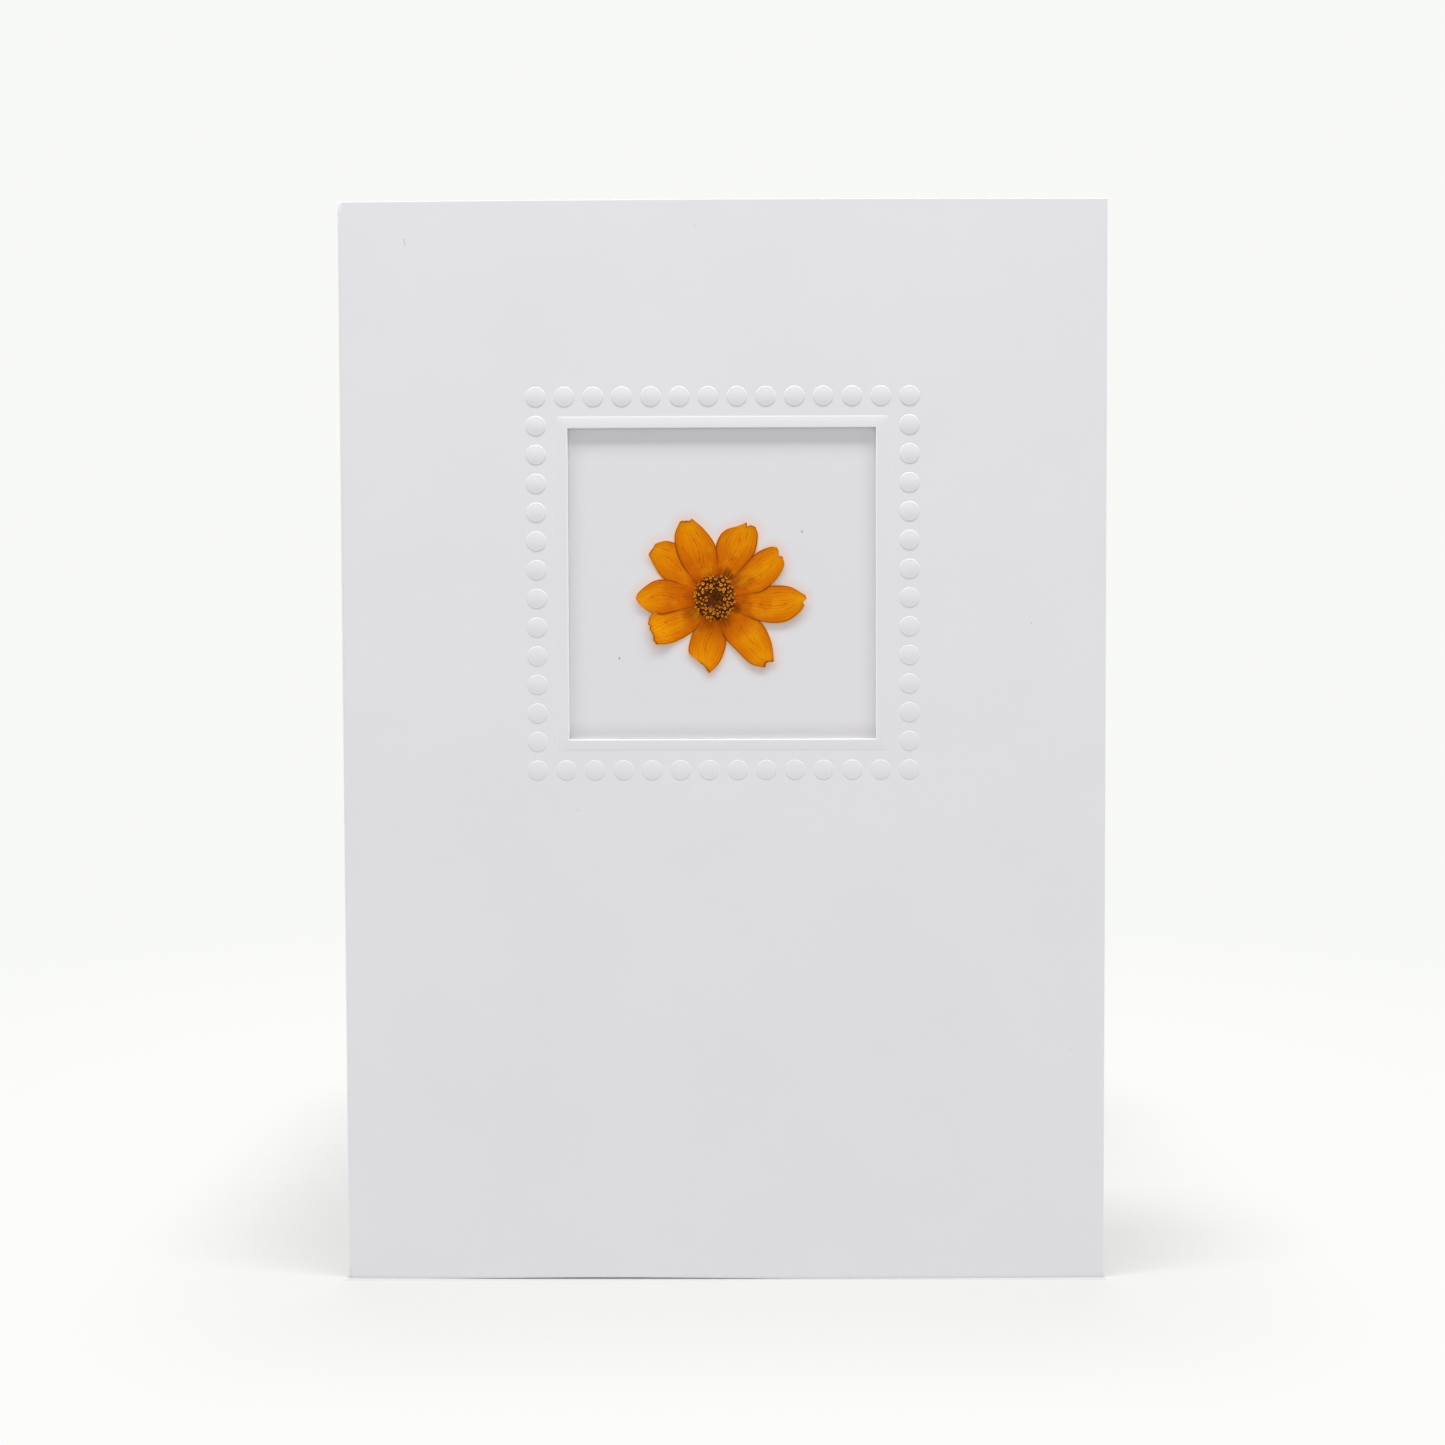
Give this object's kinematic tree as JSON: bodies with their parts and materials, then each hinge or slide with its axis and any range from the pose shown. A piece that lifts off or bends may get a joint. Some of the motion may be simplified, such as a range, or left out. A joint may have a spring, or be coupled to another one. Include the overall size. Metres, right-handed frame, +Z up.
{
  "type": "greeting card",
  "caption": "Folded greeting card standing open, with a square die-cut window in an embossed beaded frame and a pressed orange flower on the sheet behind it.",
  "frame": {"origin": "on the table, under the middle of the box round the whole card", "axes": "+Z up, the front panel faces -Y, the fold is at -X and the panels open towards +Y"},
  "size_m": [0.126, 0.091, 0.178],
  "materials": {
    "card_stock": "smooth matte white card stock, blind embossed",
    "backing_paper": "smooth matte white paper",
    "double_sided_tape": "thin translucent adhesive film",
    "dried_petal": "dried petal, translucent orange with fine veins and brown margins",
    "dried_disc": "dark brown dried flower centre",
    "dried_floret": "dry ochre florets with dark throats"
  },
  "bodies": {
    "root": {"card": "card_stock", "backing_sheet": "backing_paper", "flower_disc": "dried_disc", "tape_top": "double_sided_tape", "tape_bottom": "double_sided_tape", "tape_left": "double_sided_tape", "tape_right": "double_sided_tape", "petal_top": "dried_petal", "petal_top_right": "dried_petal", "petal_upper_right": "dried_petal", "petal_right": "dried_petal", "petal_lower_right": "dried_petal", "petal_bottom": "dried_petal", "petal_lower_left": "dried_petal", "petal_left": "dried_petal", "petal_upper_left": "dried_petal", "inner_florets": "dried_floret", "middle_florets": "dried_floret", "outer_florets": "dried_floret"}
  },
  "joints": []
}
